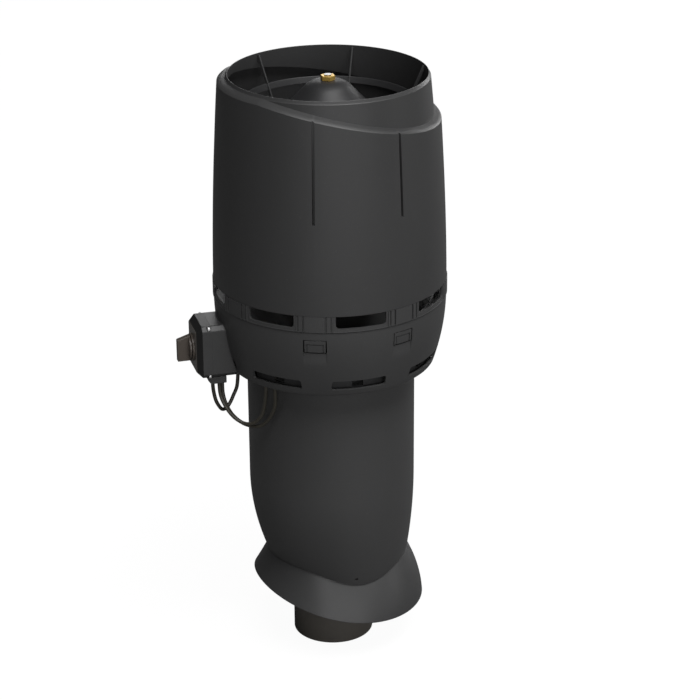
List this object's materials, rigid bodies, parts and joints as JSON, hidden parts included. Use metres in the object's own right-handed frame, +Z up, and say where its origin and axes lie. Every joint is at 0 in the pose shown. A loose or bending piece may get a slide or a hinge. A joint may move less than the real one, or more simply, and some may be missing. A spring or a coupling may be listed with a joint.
{
  "type": "roof exhaust fan",
  "caption": "Roof exhaust fan: flared hood with slanted shoulder over a vented bowl, backward-curved impeller, insulated pipe with skirt, side safety switch and cable loops.",
  "frame": {"origin": "centre of the duct spigot's lower end, on the duct's axis", "axes": "+Z up along the duct's axis toward the mouth; -Y is the front, between the two front latches; the safety switch is on -X"},
  "size_m": [0.3649, 0.311, 0.807],
  "materials": {
    "body": "fine grained moulded plastic",
    "dark": "smooth moulded plastic",
    "duct": "smooth extruded pipe",
    "foam": "insulation foam",
    "steel": "zinc plated steel",
    "copper": "varnished winding",
    "brass": "bright brass",
    "knob": "satin plastic",
    "cable": "cable sheath"
  },
  "bodies": {
    "base": {"duct": "duct", "insulation": "foam", "outer_pipe": "body", "skirt": "body", "base_bowl": "body", "base_frame": "body", "inlet_ring": "dark", "switch_box": "dark", "switch_cover": "dark", "cover_screws": "steel", "contact_block": "dark", "switch_collar": "knob", "cable_gland": "dark", "cable_bushes": "cable", "cable_1": "cable", "cable_2": "cable", "cable_3": "cable"},
    "head": {"hood": "body", "hood_struts": "body", "diffuser_ring": "body", "motor_cone": "dark", "cone_nut": "brass", "tie_rod": "steel", "motor_plate": "steel", "motor_screws": "steel", "motor_flange": "steel", "motor_stator": "copper", "upper_bearing": "steel", "lower_bearing": "steel"},
    "impeller": {"motor_rotor": "dark", "motor_shaft": "steel", "impeller_disc": "dark", "impeller_blades": "dark", "impeller_shroud": "dark"},
    "knob": {"switch_knob": "knob", "switch_shaft": "steel"},
    "latch_front_left": {"latch_fl": "body"},
    "latch_front_right": {"latch_fr": "body"},
    "latch_back_left": {"latch_bl": "body"},
    "latch_back_right": {"latch_br": "body"}
  },
  "joints": [
    {"name": "hood_lift", "type": "slide", "parent": "base", "child": "head", "axis": [0, 0, 1], "range_m": [0, 0.12]},
    {"name": "impeller_spin", "type": "hinge", "parent": "head", "child": "impeller", "pos_m": [0, 0, 0.62], "axis": [0, 0, 1], "continuous": true},
    {"name": "switch_turn", "type": "hinge", "parent": "base", "child": "knob", "pos_m": [-0.2, 0, 0.4485], "axis": [-1, 0, 0], "range_deg": [0, 90]},
    {"name": "latch_front_left_press", "type": "hinge", "parent": "base", "child": "latch_front_left", "pos_m": [-0.058, -0.14, 0.4975], "axis": [0.9239, -0.3827, 0], "range_deg": [0, 4], "stiffness_Nm_per_rad": 2},
    {"name": "latch_front_right_press", "type": "hinge", "parent": "base", "child": "latch_front_right", "pos_m": [0.058, -0.14, 0.4975], "axis": [0.9239, 0.3827, 0], "range_deg": [0, 4], "stiffness_Nm_per_rad": 2},
    {"name": "latch_back_left_press", "type": "hinge", "parent": "base", "child": "latch_back_left", "pos_m": [-0.058, 0.14, 0.4975], "axis": [-0.9239, -0.3827, 0], "range_deg": [0, 4], "stiffness_Nm_per_rad": 2},
    {"name": "latch_back_right_press", "type": "hinge", "parent": "base", "child": "latch_back_right", "pos_m": [0.058, 0.14, 0.4975], "axis": [-0.9239, 0.3827, 0], "range_deg": [0, 4], "stiffness_Nm_per_rad": 2}
  ]
}
